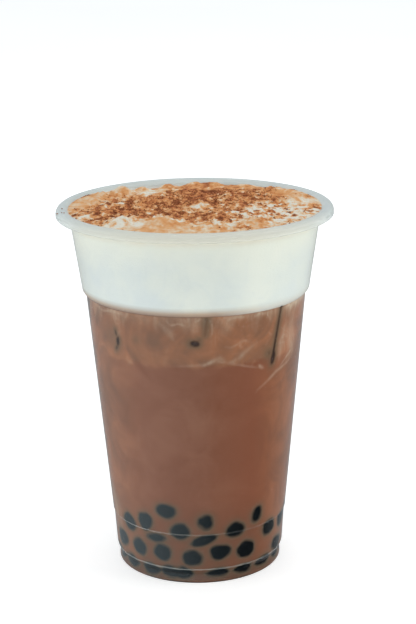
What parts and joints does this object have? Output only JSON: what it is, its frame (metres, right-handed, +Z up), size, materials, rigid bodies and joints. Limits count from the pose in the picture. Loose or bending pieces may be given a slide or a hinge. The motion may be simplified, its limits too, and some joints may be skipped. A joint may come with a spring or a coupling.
{
  "type": "bubble tea",
  "caption": "Milk tea with tapioca pearls in a clear take-away cup, topped to the rim with lumpy milk foam dusted with cocoa.",
  "frame": {"origin": "centre of the cup's foot, on the surface it stands on", "axes": "+Z up along the cup's axis; -Y is the side that the picture shows, +X its right"},
  "size_m": [0.095, 0.095, 0.1303],
  "materials": {
    "cup": "clear polypropylene, satin and slightly milky at the rim",
    "milk_tea": "smooth opaque liquid",
    "tapioca_pearls": "wet, smooth",
    "milk_foam": "fine foam, its top dusted with cocoa"
  },
  "bodies": {
    "root": {"cup": "cup", "milk_tea": "milk_tea", "tapioca_pearls": "tapioca_pearls", "milk_foam": "milk_foam"}
  },
  "joints": []
}
